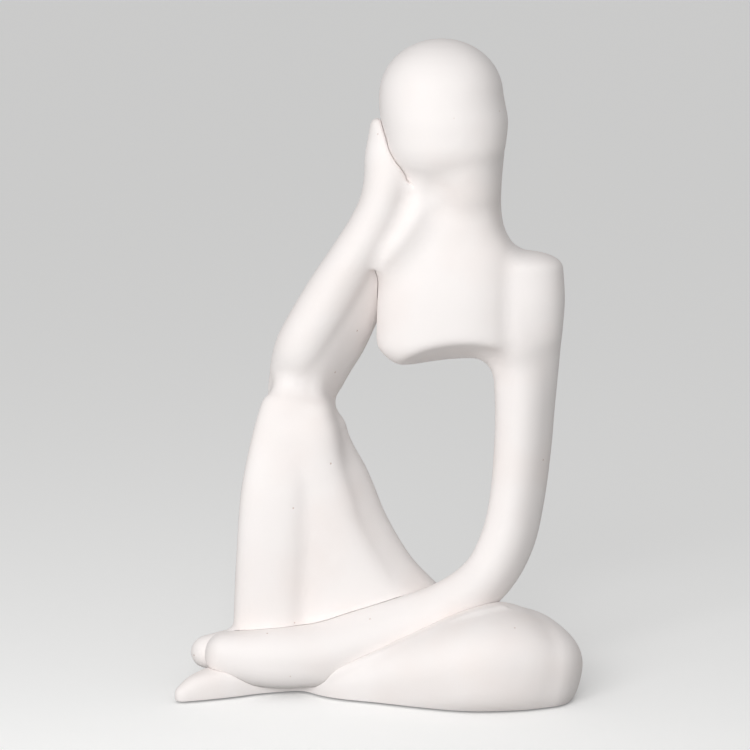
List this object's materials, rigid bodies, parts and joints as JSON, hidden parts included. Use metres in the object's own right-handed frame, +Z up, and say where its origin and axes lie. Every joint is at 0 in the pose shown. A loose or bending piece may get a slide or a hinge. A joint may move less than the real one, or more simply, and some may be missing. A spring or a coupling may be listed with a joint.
{
  "type": "thinking woman figurine",
  "caption": "Faceless seated woman in matte white cast plaster, cheek propped on a hand, long arm reaching to the crossed foot; a free-standing shelf ornament.",
  "frame": {"origin": "on the shelf, under the middle of the figure's bounding box", "axes": "+Z up, -Y towards the viewer in front of the figure, +X to the viewer's right, the side of the long reaching arm"},
  "size_m": [0.1406, 0.0812, 0.225],
  "materials": {
    "plaster": "cast plaster, sanded matte, warm white with a faint pink cast and scattered pinholes",
    "steel": "plain drawn steel wire and rod, hidden inside",
    "felt": "thin grey pressed felt, glued into shallow recesses"
  },
  "bodies": {
    "root": {"trunk_and_head": "plaster", "propping_arm": "plaster", "reaching_arm": "plaster", "raised_leg": "plaster", "folded_leg": "plaster", "arm_wire": "steel", "propping_shoulder_dowel": "steel", "elbow_dowel": "steel", "hip_dowel": "steel", "knee_pad": "felt", "instep_pad": "felt", "shin_pad": "felt", "seat_pad": "felt"}
  },
  "joints": []
}
